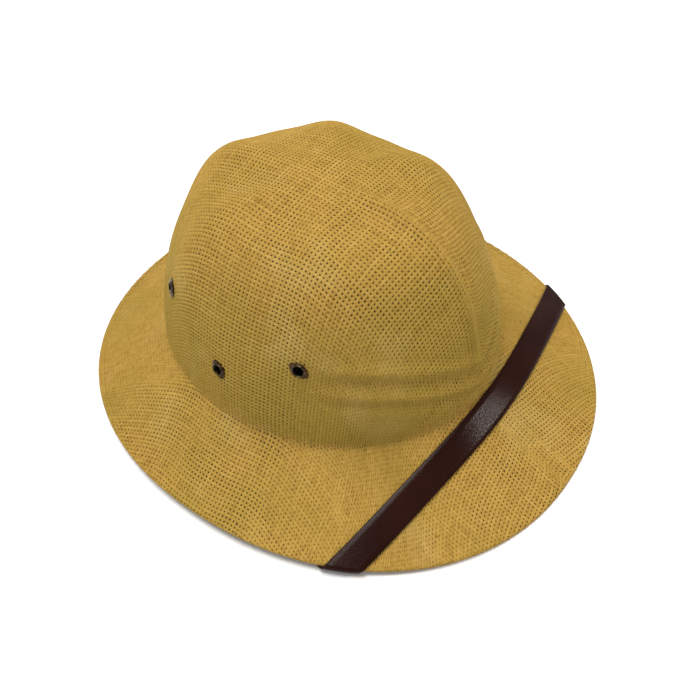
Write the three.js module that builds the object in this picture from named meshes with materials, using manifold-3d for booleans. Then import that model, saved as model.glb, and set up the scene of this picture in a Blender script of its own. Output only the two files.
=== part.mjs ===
// A pith helmet of stiff woven straw, standing on its brim. Millimetres, +Z up.
// The wearer faces -Y, so the wearer's right is -X. Turns go round the hat from the front (0)
// over the wearer's right (90) to the back (180).

import * as THREE from 'three';
import { mergeVertices } from 'three/addons/utils/BufferGeometryUtils.js';
import Module from 'manifold-3d';

// The brim's outer edge is an oval, a little squarer than an ellipse, and shallowly saddled:
// its front and back touch what the hat stands on, and its sides stand higher.
const BRIM_LENGTH = 330;
const BRIM_WIDTH = 292;
const BRIM_SQUARENESS = 2.14;
const BRIM_WIDEST_Y = 2.3;
const BRIM_SIDE_RISE = 5;
const BRIM_DISH = 1.2;

// The straw is one wall all over, folded under along the rim to a thicker hem.
const WALL = 2;
const HEM_WIDTH = 6;
const HEM_THICKNESS = 3;
const HEM_STEP_RUN = 1;
const EDGE_HEIGHT = 0.5;
const EDGE_TUCK = 1;

// The crown rises from an oval foot in six rounded ridges with shallow valleys between.
const FOOT_LENGTH = 220.5;
const FOOT_WIDTH = 193;
const FOOT_Y = 9;
const FOOT_HEIGHT = 34.8;
const FOOT_FILLET = 2.4;
const CROWN_HEIGHT = 111;
const RIDGE_TURN = 61.8;
const RIDGE_SHARPNESS = 1.85;

// The crown's section under a ridge and under a valley, by degrees of rise from foot to top,
// as shares of the plain half oval.
const CROWN_PROFILE = [
  { rise: 0, ridge: 1, valley: 1 },
  { rise: 18, ridge: 1, valley: 0.995 },
  { rise: 36, ridge: 1.07, valley: 1.03 },
  { rise: 54, ridge: 1.115, valley: 1.078 },
  { rise: 72, ridge: 1.05, valley: 1.02 },
  { rise: 90, ridge: 1, valley: 1 },
];

// Shallow pleats that the crown's block left in a band round the front, from one side ridge to
// the other. The band's top is lowest at the front and climbs to the side ridges. The pleats
// reach round to a turn and fade over the last part of it. Their drops below the band's top and
// their widths are shares of its front height, depths are shares of the wall (minus is a groove).
const BAND_HEIGHT = 34;
const BAND_SIDE_HEIGHT = 60;
const PLEAT_REACH = 66;
const PLEAT_FADE = 21;
const PLEATS = [
  { drop: 0.13, width: 0.12, depth: 0.45 },
  { drop: 0.38, width: 0.12, depth: -0.5 },
  { drop: 0.6, width: 0.11, depth: 0.35 },
  { drop: 0.8, width: 0.1, depth: -0.3 },
];

// Three vent eyelets stand on each side in a triangle about the middle of the side.
const EYELET_FLANGE_RADIUS = 5.2;
const EYELET_BARREL_RADIUS = 3.6;
const EYELET_BORE_RADIUS = 3;
const EYELET_LIP_HEIGHT = 1.3;
const EYELET_CLENCH_RADIUS = 5;
const EYELET_LIP_FALL = 0.2;
const EYELET_METAL = 0.5;
const EYELET_SIDES = 12;
const EYELET_TURN = 94.3;
const EYELET_SPREAD = 28.7;
const EYELETS = [
  { name: 'front', turn: EYELET_TURN - EYELET_SPREAD, rise: 28.3 },
  { name: 'middle', turn: EYELET_TURN, rise: 17 },
  { name: 'back', turn: EYELET_TURN + EYELET_SPREAD, rise: 28.3 },
];

// The chin strap lies across the front brim, folds round the rim on each side and runs back
// under the brim to the crown's mouth, where its end is sewn down.
const STRAP_WIDTH = 17;
const STRAP_THICKNESS = 1.2;
const STRAP_FOOT_DISTANCE = 1;
const STRAP_RIM_TURN = 57.8;
const STRAP_BEND = 0.68;
const STRAP_END_TURN = 93;
const STRAP_MOUTH_DISTANCE = 3;

// Touching pieces stay this far apart.
const GAP = 0.3;

// How finely the surfaces are faceted.
const COLUMNS = 60;
const CROWN_RISES = [82, 74, 66, 58, 50, 43, 37, 33, 30, 27, 24, 21, 18, 15, 12, 9, 5.5];
const BRIM_SHARES = [0.35, 0.65];
const STRAP_STEPS = { top: 16, rim: 5, under: 9 };

const wasm = await Module();
wasm.setup();

const { degToRad } = THREE.MathUtils;
const HEM_STEP = (HEM_THICKNESS - WALL) / 2;
const SMALL_TURN = 0.05;
const SMALL_SHARE = 0.001;
const MERGE_DISTANCE = 0.0001;
const DRILL_LENGTH = 6 * WALL;

// How many times a place is halved or stepped towards.
const HALVINGS = 40;
const STEPS_TO_PLACE = 30;

// A smooth value from a table's column, by its first column.
function tableValue(rows, key, column, at) {
  let i = 0;
  while (i < rows.length - 2 && rows[i + 1][key] < at) {
    i += 1;
  }
  const before = rows[Math.max(i - 1, 0)];
  const [a, b] = [rows[i], rows[i + 1]];
  const after = rows[Math.min(i + 2, rows.length - 1)];
  const span = b[key] - a[key];
  const slopeA = ((b[column] - before[column]) / (b[key] - before[key])) * span;
  const slopeB = ((after[column] - a[column]) / (after[key] - a[key])) * span;
  const t = (at - a[key]) / span;
  const fromB = t * t * (3 - 2 * t);
  const curve = t * (1 - t) * (1 - t) * slopeA - t * t * (1 - t) * slopeB;
  return a[column] * (1 - fromB) + b[column] * fromB + curve;
}

// 1 on a ridge, 0 midway between two ridges.
function ridgeShare(turn) {
  const side = Math.abs(THREE.MathUtils.euclideanModulo(turn + 180, 360) - 180);
  const stops = [0, RIDGE_TURN, 180 - RIDGE_TURN, 180];
  let i = 0;
  while (i < stops.length - 2 && stops[i + 1] < side) {
    i += 1;
  }
  const across = (side - stops[i]) / (stops[i + 1] - stops[i]);
  return ((1 + Math.cos(2 * Math.PI * across)) / 2) ** RIDGE_SHARPNESS;
}

// How far the pleats lift the band's skin, fading out towards the side ridges.
function pleatLift(turn, height) {
  const side = Math.abs(THREE.MathUtils.euclideanModulo(turn + 180, 360) - 180);
  const fade = 1 - THREE.MathUtils.smoothstep(side, PLEAT_REACH - PLEAT_FADE, PLEAT_REACH);
  const climb = Math.sin((Math.min(side / RIDGE_TURN, 1) * Math.PI) / 2);
  const bandTop = BAND_HEIGHT + (BAND_SIDE_HEIGHT - BAND_HEIGHT) * climb;
  const shapes = PLEATS.map((pleat) => {
    const away = ((bandTop - height) / BAND_HEIGHT - pleat.drop) / pleat.width;
    return pleat.depth * WALL * Math.exp(-away * away);
  });
  return fade * shapes.reduce((sum, lift) => sum + lift, 0);
}

function crownPoint(turn, rise) {
  const swell = tableValue(CROWN_PROFILE, 'rise', 'ridge', rise);
  const hollow = tableValue(CROWN_PROFILE, 'rise', 'valley', rise);
  const scale = hollow + (swell - hollow) * ridgeShare(turn);
  const out = Math.cos(degToRad(rise)) * scale;
  const height = CROWN_HEIGHT * scale * Math.sin(degToRad(rise));
  const lift = pleatLift(turn, height);
  return new THREE.Vector3(
    -((FOOT_WIDTH / 2) * out + lift) * Math.sin(degToRad(turn)),
    FOOT_Y - ((FOOT_LENGTH / 2) * out + lift) * Math.cos(degToRad(turn)),
    FOOT_HEIGHT + height,
  );
}

// The unit vector square to a surface at(turn, along), out of the hat.
function surfaceNormal(at, turn, along, alongStep) {
  const round = at(turn + SMALL_TURN, along).sub(at(turn - SMALL_TURN, along));
  const up = at(turn, along + alongStep).sub(at(turn, along - alongStep));
  return up.cross(round).normalize();
}

// The outermost point of the rim.
function rimEdge(turn) {
  const power = 2 / BRIM_SQUARENESS;
  const sine = Math.sin(degToRad(turn));
  const cosine = Math.cos(degToRad(turn));
  const reach = BRIM_LENGTH / 2 + Math.sign(cosine) * BRIM_WIDEST_Y;
  return new THREE.Vector3(
    (-BRIM_WIDTH / 2) * Math.sign(sine) * Math.abs(sine) ** power,
    BRIM_WIDEST_Y - reach * Math.sign(cosine) * Math.abs(cosine) ** power,
    EDGE_HEIGHT + BRIM_SIDE_RISE * sine * sine,
  );
}

// The brim's slant at one turn: its foot, edge, length, outward direction and upper normal.
function brimSlant(turn) {
  const foot = crownPoint(turn, 0);
  const edge = rimEdge(turn);
  const out = edge.clone().sub(foot);
  const length = out.length();
  out.normalize();
  const round = rimEdge(turn + SMALL_TURN).sub(rimEdge(turn - SMALL_TURN));
  const normal = round.cross(out).normalize();
  return { foot, edge, length, out, normal };
}

// The brim's upper skin without its hem, by share of the way from the crown's foot to the rim.
function brimPoint(turn, share) {
  const { foot, edge, normal } = brimSlant(turn);
  const top = edge.addScaledVector(normal, WALL / 2);
  const dish = 4 * BRIM_DISH * share * (1 - share);
  return foot.lerp(top, share).addScaledVector(normal, -dish);
}

function brimNormal(turn, share) {
  return surfaceNormal(brimPoint, turn, share, -SMALL_SHARE);
}

// One section of the straw's upper skin from the crown's top down to the hem, each row with
// the wall's depth there.
function skinSection(turn) {
  const crownRow = (rise) => ({
    point: crownPoint(turn, rise),
    normal: surfaceNormal(crownPoint, turn, rise, SMALL_TURN),
    depth: WALL,
  });
  const brimRow = (share, lift = 0) => {
    const normal = brimNormal(turn, share);
    const point = brimPoint(turn, share).addScaledVector(normal, lift);
    return { point, normal, depth: WALL + 2 * lift };
  };
  const { foot, length } = brimSlant(turn);
  const wallEnd = crownRow((Math.asin(FOOT_FILLET / CROWN_HEIGHT) * 180) / Math.PI);
  const brimStart = brimRow(FOOT_FILLET / length);
  const bend = {
    point: wallEnd.point.clone().add(brimStart.point).add(foot).add(foot).multiplyScalar(0.25),
    normal: wallEnd.normal.clone().add(brimStart.normal).normalize(),
    depth: WALL,
  };
  return [
    ...CROWN_RISES.map(crownRow),
    wallEnd,
    bend,
    brimStart,
    ...BRIM_SHARES.map((share) => brimRow(share)),
    brimRow(1 - HEM_WIDTH / length),
    brimRow(1 - (HEM_WIDTH - HEM_STEP_RUN) / length, HEM_STEP),
  ];
}

// The rim's edge: the hem's rounded top, its outermost point and the flat that it stands on.
function rimSection(turn) {
  const { edge, out, normal } = brimSlant(turn);
  const level = new THREE.Vector3(out.x, out.y, 0).normalize();
  const top = edge.clone().addScaledVector(normal, HEM_THICKNESS / 2).addScaledVector(out, -EDGE_TUCK);
  const flatOuter = edge.clone().addScaledVector(level, -EDGE_HEIGHT);
  flatOuter.z -= EDGE_HEIGHT;
  const flatInner = edge.clone().addScaledVector(normal, -HEM_THICKNESS / 2);
  flatInner.addScaledVector(out, (flatInner.z - flatOuter.z) / -out.z);
  return [top, edge, flatOuter, flatInner];
}

// A closed body from rings of equal count between two poles.
function bodyFromRings(startPole, rings, endPole) {
  const count = rings[0].length;
  const points = [startPole, ...rings.flat(), endPole];
  const triangles = [];
  const at = (ring, i) => 1 + ring * count + (i % count);
  for (let i = 0; i < count; i += 1) {
    triangles.push(0, at(0, i + 1), at(0, i));
    triangles.push(points.length - 1, at(rings.length - 1, i), at(rings.length - 1, i + 1));
    for (let ring = 0; ring < rings.length - 1; ring += 1) {
      triangles.push(at(ring, i), at(ring, i + 1), at(ring + 1, i + 1));
      triangles.push(at(ring, i), at(ring + 1, i + 1), at(ring + 1, i));
    }
  }
  const geometry = new THREE.BufferGeometry().setFromPoints(points);
  geometry.setIndex(triangles);
  return geometry;
}

function toSolid(geometry) {
  const bare = geometry.clone();
  bare.deleteAttribute('normal');
  bare.deleteAttribute('uv');
  const merged = mergeVertices(bare, MERGE_DISTANCE);
  return new wasm.Manifold(
    new wasm.Mesh({
      numProp: 3,
      vertProperties: new Float32Array(merged.attributes.position.array),
      triVerts: new Uint32Array(merged.index.array),
    }),
  );
}

function toGeometry(solid) {
  const mesh = solid.getMesh();
  const geometry = new THREE.BufferGeometry();
  geometry.setAttribute('position', new THREE.BufferAttribute(mesh.vertProperties, 3));
  geometry.setIndex(new THREE.BufferAttribute(mesh.triVerts, 1));
  return geometry;
}

// Where an eyelet sits: its middle on the crown's skin, its +Y pointing out of the hat.
function eyeletPlace({ turn, rise }, side) {
  const middle = crownPoint(side * turn, rise);
  const outward = surfaceNormal(crownPoint, side * turn, rise, SMALL_TURN);
  const spin = new THREE.Quaternion().setFromUnitVectors(new THREE.Vector3(0, 1, 0), outward);
  return new THREE.Matrix4().compose(middle, spin, new THREE.Vector3(1, 1, 1));
}

const SIDES = [
  { name: 'right', side: 1 },
  { name: 'left', side: -1 },
];

// The straw body: crown and brim are one wall, open below, pierced for the eyelets.
function strawBody() {
  const turns = Array.from({ length: COLUMNS }, (_, i) => ((i + 0.5) * 360) / COLUMNS);
  const sections = turns.map((turn) => {
    const skin = skinSection(turn);
    const inside = skin.map(({ point, normal, depth }) => point.clone().addScaledVector(normal, -depth));
    return [...skin.map((row) => row.point), ...rimSection(turn), ...inside.reverse()];
  });
  const rings = sections[0].map((_, row) => sections.map((section) => section[row]));
  const top = crownPoint(0, 90);
  const insideTop = top.clone();
  insideTop.z -= WALL;
  const drill = new THREE.CylinderGeometry(
    EYELET_BARREL_RADIUS + GAP,
    EYELET_BARREL_RADIUS + GAP,
    DRILL_LENGTH,
    EYELET_SIDES,
  );
  let solid = toSolid(bodyFromRings(top, rings, insideTop));
  for (const { side } of SIDES) {
    for (const eyelet of EYELETS) {
      solid = solid.subtract(toSolid(drill.clone().applyMatrix4(eyeletPlace(eyelet, side))));
    }
  }
  return toGeometry(solid);
}

// A vent eyelet: a rolled flange outside, a barrel through the wall, and its end turned over.
function eyelet() {
  const seat = GAP;
  const inside = -WALL - 2 * GAP;
  const lip = seat + EYELET_LIP_HEIGHT;
  const bore = EYELET_BORE_RADIUS;
  const section = [
    [bore, lip - EYELET_METAL],
    [bore + EYELET_METAL, lip],
    [EYELET_FLANGE_RADIUS - 2 * EYELET_METAL, lip - EYELET_LIP_FALL],
    [EYELET_FLANGE_RADIUS, seat + EYELET_METAL],
    [EYELET_FLANGE_RADIUS, seat],
    [EYELET_BARREL_RADIUS, seat],
    [EYELET_BARREL_RADIUS, inside],
    [EYELET_CLENCH_RADIUS, inside - GAP],
    [EYELET_CLENCH_RADIUS, inside - GAP - EYELET_METAL],
    [bore, inside - EYELET_METAL],
    [bore, lip - EYELET_METAL],
  ];
  const outline = section.map(([radius, height]) => new THREE.Vector2(radius, height));
  return new THREE.LatheGeometry(outline.reverse(), EYELET_SIDES);
}

// The share of the brim where the rim's rounding begins.
function rimShare(turn) {
  return 1 - HEM_THICKNESS / 2 / brimSlant(turn).length;
}

// The strap's middle line across the brim's top, as a share of the brim at each turn.
function strapShare(turn) {
  const start = (STRAP_FOOT_DISTANCE + STRAP_WIDTH / 2) / brimSlant(0).length;
  const along = turn / STRAP_RIM_TURN;
  return start + (1 - start) * (STRAP_BEND * along ** 2 + (1 - STRAP_BEND) * along ** 4);
}

// The place on the brim of one of the strap's two edges, beside its middle line at a turn:
// side 1 is the edge towards the rim, side -1 the edge towards the crown.
function strapEdge(turn, side) {
  const share = strapShare(turn);
  const round = brimPoint(turn + SMALL_TURN, share).sub(brimPoint(turn - SMALL_TURN, share));
  round.divideScalar(2 * SMALL_TURN);
  const outward = brimPoint(turn, share + SMALL_SHARE).sub(brimPoint(turn, share - SMALL_SHARE));
  outward.divideScalar(2 * SMALL_SHARE);
  const slope = (strapShare(turn + SMALL_TURN) - strapShare(turn - SMALL_TURN)) / (2 * SMALL_TURN);
  const run = round.clone().addScaledVector(outward, slope).normalize();
  const across = run.clone().cross(brimNormal(turn, share)).normalize();
  const half = (side * STRAP_WIDTH) / 2;
  const [rr, ro, oo] = [round.dot(round), round.dot(outward), outward.dot(outward)];
  const [ar, ao] = [across.dot(round) * half, across.dot(outward) * half];
  const det = rr * oo - ro * ro;
  return { turn: turn + (ar * oo - ao * ro) / det, share: share + (ao * rr - ar * ro) / det, run };
}

// The turn of the middle line at which an edge of the strap comes to the rim.
function strapEdgeEnd(side) {
  let [low, high] = [0, 2 * STRAP_RIM_TURN];
  for (let i = 0; i < HALVINGS; i += 1) {
    const middle = (low + high) / 2;
    const edge = strapEdge(middle, side);
    if (edge.share < rimShare(edge.turn)) {
      low = middle;
    } else {
      high = middle;
    }
  }
  return low;
}

// A point of the strap on the brim's top, lift above the skin-side face of the strap.
function strapOnTop({ turn, share }, lift) {
  const rise = GAP + HEM_STEP * share * share + lift;
  return brimPoint(turn, share).addScaledVector(brimNormal(turn, share), rise);
}

// A point of the strap as it goes round the rim, by angle from the top.
function strapRoundRim({ turn, angle }, lift) {
  const { edge, out, normal } = brimSlant(turn);
  const radius = HEM_THICKNESS / 2 + GAP + lift;
  return edge
    .addScaledVector(out, radius * Math.sin(angle) - HEM_THICKNESS / 2)
    .addScaledVector(normal, radius * Math.cos(angle));
}

// A point of the strap under the brim.
function strapUnder({ turn, share }, lift) {
  const drop = WALL + HEM_STEP * share * share + GAP + lift;
  return brimPoint(turn, share).addScaledVector(brimNormal(turn, share), -drop);
}

// The share at which a straight line in plan, from start to end, crosses the slant at one turn.
function crossingShare(turn, start, end) {
  const inner = brimPoint(turn, 0);
  const outer = brimPoint(turn, 1);
  const cross = (ax, ay) => ax * (end.y - start.y) - ay * (end.x - start.x);
  return cross(start.x - inner.x, start.y - inner.y) / cross(outer.x - inner.x, outer.y - inner.y);
}

// The place under the brim part of the way along a straight line in plan.
function placeAlong(startTurn, start, end, along) {
  const heading = end.clone().sub(start).setZ(0).normalize();
  const target = start.clone().lerp(end, along);
  let turn = startTurn;
  for (let i = 0; i < STEPS_TO_PLACE; i += 1) {
    const here = brimPoint(turn, crossingShare(turn, start, end));
    const next = brimPoint(turn + SMALL_TURN, crossingShare(turn + SMALL_TURN, start, end));
    turn += (SMALL_TURN * heading.dot(target.clone().sub(here))) / heading.dot(next.sub(here));
  }
  return { turn, share: crossingShare(turn, start, end) };
}

// Half of the strap, from the middle of the front to the sewn end: sections of points across
// the strap, first those facing the straw and then those facing away.
function strapHalf() {
  const edges = [-1, 1].map((side) => ({ side, end: strapEdgeEnd(side) }));
  const section = (place, [a, b]) => {
    const keys = Object.keys(a).filter((key) => key !== 'run');
    const middle = Object.fromEntries(keys.map((key) => [key, (a[key] + b[key]) / 2]));
    const across = [a, middle, b];
    const near = across.map((spot) => place(spot, 0));
    const far = across.map((spot) => place(spot, STRAP_THICKNESS));
    return [...near, ...far.reverse()];
  };
  const sections = [];
  for (let i = 0; i <= STRAP_STEPS.top; i += 1) {
    const along = i / STRAP_STEPS.top;
    sections.push(section(strapOnTop, edges.map(({ side, end }) => strapEdge(end * along, side))));
  }

  // Round the rim each edge keeps its heading along the rim, so the fold runs on slantwise.
  const folds = edges.map(({ side, end }) => {
    const { turn, run } = strapEdge(end, side);
    const { out } = brimSlant(turn);
    const rimRun = rimEdge(turn + SMALL_TURN).sub(rimEdge(turn - SMALL_TURN)).divideScalar(2 * SMALL_TURN);
    const rimWay = rimRun.clone().normalize();
    const radius = (HEM_THICKNESS + STRAP_THICKNESS) / 2 + GAP;
    const onward = (radius * run.dot(rimWay)) / run.dot(out);
    return { turn, turnPerAngle: onward / rimRun.length() };
  });
  for (let i = 1; i < STRAP_STEPS.rim; i += 1) {
    const angle = (Math.PI * i) / STRAP_STEPS.rim;
    const spots = folds.map(({ turn, turnPerAngle }) => ({ turn: turn + turnPerAngle * angle, angle }));
    sections.push(section(strapRoundRim, spots));
  }

  // Under the brim it runs straight in plan to its sewn end beside the crown's mouth.
  const starts = folds.map(({ turn, turnPerAngle }) => {
    const startTurn = turn + turnPerAngle * Math.PI;
    return { turn: startTurn, point: brimPoint(startTurn, rimShare(startTurn)) };
  });
  const endShare = (STRAP_MOUTH_DISTANCE + STRAP_WIDTH / 2) / brimSlant(STRAP_END_TURN).length;
  const end = brimPoint(STRAP_END_TURN, endShare);
  const heading = end.clone().sub(starts[0].point.clone().lerp(starts[1].point, 0.5));
  const across = brimNormal(STRAP_END_TURN, endShare).cross(heading).normalize();
  for (let i = 0; i <= STRAP_STEPS.under; i += 1) {
    const along = i / STRAP_STEPS.under;
    const spots = starts.map(({ turn, point }, edge) => {
      const corner = end.clone().addScaledVector(across, (edges[edge].side * STRAP_WIDTH) / 2);
      return placeAlong(turn, point, corner, along);
    });
    sections.push(section(strapUnder, spots));
  }
  return sections;
}

function chinStrap() {
  const right = strapHalf();
  const left = right.slice(1).map((points) => points.map(({ x, y, z }) => new THREE.Vector3(-x, y, z)));
  const rings = [...right.reverse(), ...left];
  const middleOf = (points) =>
    points.reduce((sum, point) => sum.add(point), new THREE.Vector3()).divideScalar(points.length);
  return bodyFromRings(middleOf(rings[0]), rings, middleOf(rings.at(-1)));
}

const straw = new THREE.MeshStandardMaterial({ color: '#c9a455', roughness: 0.85, metalness: 0 });
const leather = new THREE.MeshStandardMaterial({ color: '#3a1a12', roughness: 0.4, metalness: 0 });
const brass = new THREE.MeshStandardMaterial({ color: '#4a3d2b', roughness: 0.45, metalness: 1 });

function named(name, geometry, material) {
  const mesh = new THREE.Mesh(geometry, material);
  mesh.name = name;
  return mesh;
}

const helmet = new THREE.Group();
helmet.add(named('straw_body', strawBody(), straw));
helmet.add(named('chin_strap', chinStrap(), leather));
for (const { name: sideName, side } of SIDES) {
  for (const place of EYELETS) {
    const mesh = named(`eyelet_${sideName}_${place.name}`, eyelet(), brass);
    eyeletPlace(place, side).decompose(mesh.position, mesh.quaternion, mesh.scale);
    helmet.add(mesh);
  }
}

export default helmet;
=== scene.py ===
# The looks of the pith helmet: its woven straw, its leather strap and its brass eyelets.
# Sizes are millimetres in the frame of the CAD model, and turn into metres as meshes are made.
# Turns go round the hat from the front over the wearer's right to the back.

import math

import bpy
import numpy as np
from mathutils import Matrix, Vector


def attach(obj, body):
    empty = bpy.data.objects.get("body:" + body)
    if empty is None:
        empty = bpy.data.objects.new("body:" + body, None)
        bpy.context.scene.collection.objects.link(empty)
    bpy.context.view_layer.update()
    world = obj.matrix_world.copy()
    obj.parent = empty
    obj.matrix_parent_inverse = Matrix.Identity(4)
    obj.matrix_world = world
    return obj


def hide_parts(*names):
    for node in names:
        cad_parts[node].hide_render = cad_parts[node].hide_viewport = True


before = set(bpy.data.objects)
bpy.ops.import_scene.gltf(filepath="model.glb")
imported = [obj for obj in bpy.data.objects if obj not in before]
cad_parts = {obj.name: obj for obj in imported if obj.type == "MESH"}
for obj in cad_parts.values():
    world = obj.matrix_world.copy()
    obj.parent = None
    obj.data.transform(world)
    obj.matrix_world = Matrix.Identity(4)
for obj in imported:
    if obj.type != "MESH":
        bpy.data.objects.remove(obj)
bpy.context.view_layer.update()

MM = 0.001

# The hat's form, as in the CAD model's source.
BRIM_LENGTH = 330
BRIM_WIDTH = 292
BRIM_SQUARENESS = 2.14
BRIM_WIDEST_Y = 2.3
BRIM_SIDE_RISE = 5
BRIM_DISH = 1.2
WALL = 2
HEM_WIDTH = 6
HEM_THICKNESS = 3
HEM_STEP_RUN = 1
EDGE_HEIGHT = 0.5
FOOT_LENGTH = 220.5
FOOT_WIDTH = 193
FOOT_Y = 9
FOOT_HEIGHT = 34.8
FOOT_FILLET = 2.4
CROWN_HEIGHT = 111
RIDGE_TURN = 61.8
RIDGE_SHARPNESS = 1.85
CROWN_RISE = np.array([0, 18, 36, 54, 72, 90], float)
CROWN_RIDGE = np.array([1, 1, 1.07, 1.115, 1.05, 1])
CROWN_VALLEY = np.array([1, 0.995, 1.03, 1.078, 1.02, 1])
BAND_HEIGHT = 34
BAND_SIDE_HEIGHT = 60
PLEAT_REACH = 66
PLEAT_FADE = 21
PLEAT_DROP = (0.13, 0.38, 0.6, 0.8)
PLEAT_WIDTH = (0.12, 0.12, 0.11, 0.1)
PLEAT_DEPTH = (0.45, -0.5, 0.35, -0.3)
EYELET_FLANGE_RADIUS = 5.2
EYELET_BARREL_RADIUS = 3.6
EYELET_BORE_RADIUS = 3.0
EYELET_TURN = 94.3
EYELET_SPREAD = 28.7
EYELET_HIGH_RISE = 28.3
EYELET_LOW_RISE = 17
STRAP_WIDTH = 17
STRAP_THICKNESS = 1.2
STRAP_FOOT_DISTANCE = 1
STRAP_RIM_TURN = 57.8
STRAP_BEND = 0.68
STRAP_END_TURN = 93
STRAP_MOUTH_DISTANCE = 3
GAP = 0.3

# What the looks add to that form: deeper pleats, ridges that fade near the top and a narrow crest.
PLEAT_GAIN = 1.6
RIDGE_FADE_RISE = (66, 82)
RIDGE_MEAN_SHARE = 0.35
CREST_TURN = 2
CREST_HEIGHT = 1.9
CREST_HALF_WIDTH = 2.6
CREST_FLANK = 0.22
CREST_FLANK_ARC = 2.4
CREST_RISE = (8, 22, 66, 84)

# The outer cloth: strands laid square on the crown's top and crossing at a fixed pitch.
PITCH = 2.46
STRAND_WIDTH = 1.62
STRAND_FILL = 0.80
STRAND_DEPTH = 0.27
STRAND_SWING = 0.135
STRAND_CROWN = 0.13
STRAND_SIDE = -0.2
STRAND_SECTION = (
    (-0.5, STRAND_SIDE),
    (-0.2, STRAND_CROWN),
    (0.2, STRAND_CROWN),
    (0.5, STRAND_SIDE),
)
STRAND_UV_ACROSS = (0.0, 0.3, 0.6, 0.9)
STRAND_WANDER = 0.07
STRAND_UNEVEN = 0.05
STRAND_KNOT = 6
EDGE_SINE = 0.7

# The inner cloth, and how far past the hem's fold its net still counts, in pitches.
LINING_DEPTH = 0.75
LINING_REACH = 1.6
LINING_PAST_WALL = 0.02
LINING_IN_HOLE = 0.2

# The net's size in crossings and how it is solved.
NET_REACH = 112
NET_ROUNDS = 10
NET_MARGIN = 3
SMALLEST_DET = 0.02
LONGEST_WAY = 300
WAY_STEP = 0.25

# The way down the hat from its top: how much of it is crown.
CROWN_WAY = 160
HEM_RADIUS = HEM_THICKNESS / 2
HEM_STEP = (HEM_THICKNESS - WALL) / 2
SMALL = 0.05
SMALL_SHARE = 0.001
TINY = 1e-12


def table_value(values, rise):
    """A smooth value from one of the crown's columns, by rise."""
    last = len(CROWN_RISE) - 1
    i = np.clip(np.searchsorted(CROWN_RISE, rise) - 1, 0, last - 1)
    before = np.maximum(i - 1, 0)
    after = np.minimum(i + 2, last)
    span = CROWN_RISE[i + 1] - CROWN_RISE[i]
    slope_a = (values[i + 1] - values[before]) / (CROWN_RISE[i + 1] - CROWN_RISE[before]) * span
    slope_b = (values[after] - values[i]) / (CROWN_RISE[after] - CROWN_RISE[i]) * span
    t = (rise - CROWN_RISE[i]) / span
    from_b = t * t * (3 - 2 * t)
    curve = t * (1 - t) ** 2 * slope_a - t * t * (1 - t) * slope_b
    return values[i] * (1 - from_b) + values[i + 1] * from_b + curve


def unit(vectors):
    return vectors / np.linalg.norm(vectors, axis=-1, keepdims=True)


def smooth_step(value):
    value = np.clip(value, 0, 1)
    return value * value * (3 - 2 * value)


def ridge_share(turn):
    """1 on a ridge, 0 midway between two ridges."""
    side = np.abs((turn + 180) % 360 - 180)
    stops = np.array([0, RIDGE_TURN, 180 - RIDGE_TURN, 180])
    i = np.clip(np.searchsorted(stops, side) - 1, 0, 2)
    across = (side - stops[i]) / (stops[i + 1] - stops[i])
    return ((1 + np.cos(2 * np.pi * across)) / 2) ** RIDGE_SHARPNESS


def pleat_lift(turn, height):
    side = np.abs((turn + 180) % 360 - 180)
    fade = smooth_step((PLEAT_REACH - side) / PLEAT_FADE)
    climb = np.sin(np.minimum(side / RIDGE_TURN, 1) * np.pi / 2)
    drop = (BAND_HEIGHT + (BAND_SIDE_HEIGHT - BAND_HEIGHT) * climb - height) / BAND_HEIGHT
    lift = 0
    for middle, width, depth in zip(PLEAT_DROP, PLEAT_WIDTH, PLEAT_DEPTH):
        lift = lift + depth * WALL * np.exp(-(((drop - middle) / width) ** 2))
    return fade * lift * PLEAT_GAIN


def crest_lift(turn, rise):
    """A narrow crest that runs up the front ridge."""
    side = np.abs((turn - CREST_TURN + 180) % 360 - 180)
    arc = np.radians(side) * FOOT_WIDTH / 2 * np.cos(np.radians(rise)) / CREST_HALF_WIDTH
    foot, low, high, top = CREST_RISE
    fade = smooth_step((rise - foot) / (low - foot)) * smooth_step((top - rise) / (top - high))
    flank = CREST_FLANK * np.exp(-((arc - CREST_FLANK_ARC) ** 2))
    return fade * CREST_HEIGHT * (np.exp(-(arc**2)) - flank)


def crown_point(turn, rise):
    swell = table_value(CROWN_RIDGE, rise)
    hollow = table_value(CROWN_VALLEY, rise)
    low, high = RIDGE_FADE_RISE
    plain = smooth_step((rise - low) / (high - low))
    share = ridge_share(turn) * (1 - plain) + RIDGE_MEAN_SHARE * plain
    scale = hollow + (swell - hollow) * share
    out = np.cos(np.radians(rise)) * scale
    crest = crest_lift(turn, rise)
    height = CROWN_HEIGHT * scale * np.sin(np.radians(rise)) + crest * np.sin(np.radians(rise))
    lift = pleat_lift(turn, height) + crest * np.cos(np.radians(rise))
    x = -(FOOT_WIDTH / 2 * out + lift) * np.sin(np.radians(turn))
    y = FOOT_Y - (FOOT_LENGTH / 2 * out + lift) * np.cos(np.radians(turn))
    return np.stack(np.broadcast_arrays(x, y, FOOT_HEIGHT + height), -1)


def rim_edge(turn):
    power = 2 / BRIM_SQUARENESS
    sine = np.sin(np.radians(turn))
    cosine = np.cos(np.radians(turn))
    reach = BRIM_LENGTH / 2 + np.sign(cosine) * BRIM_WIDEST_Y
    x = -BRIM_WIDTH / 2 * np.sign(sine) * np.abs(sine) ** power
    y = BRIM_WIDEST_Y - reach * np.sign(cosine) * np.abs(cosine) ** power
    return np.stack([x, y, EDGE_HEIGHT + BRIM_SIDE_RISE * sine**2], -1)


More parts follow.
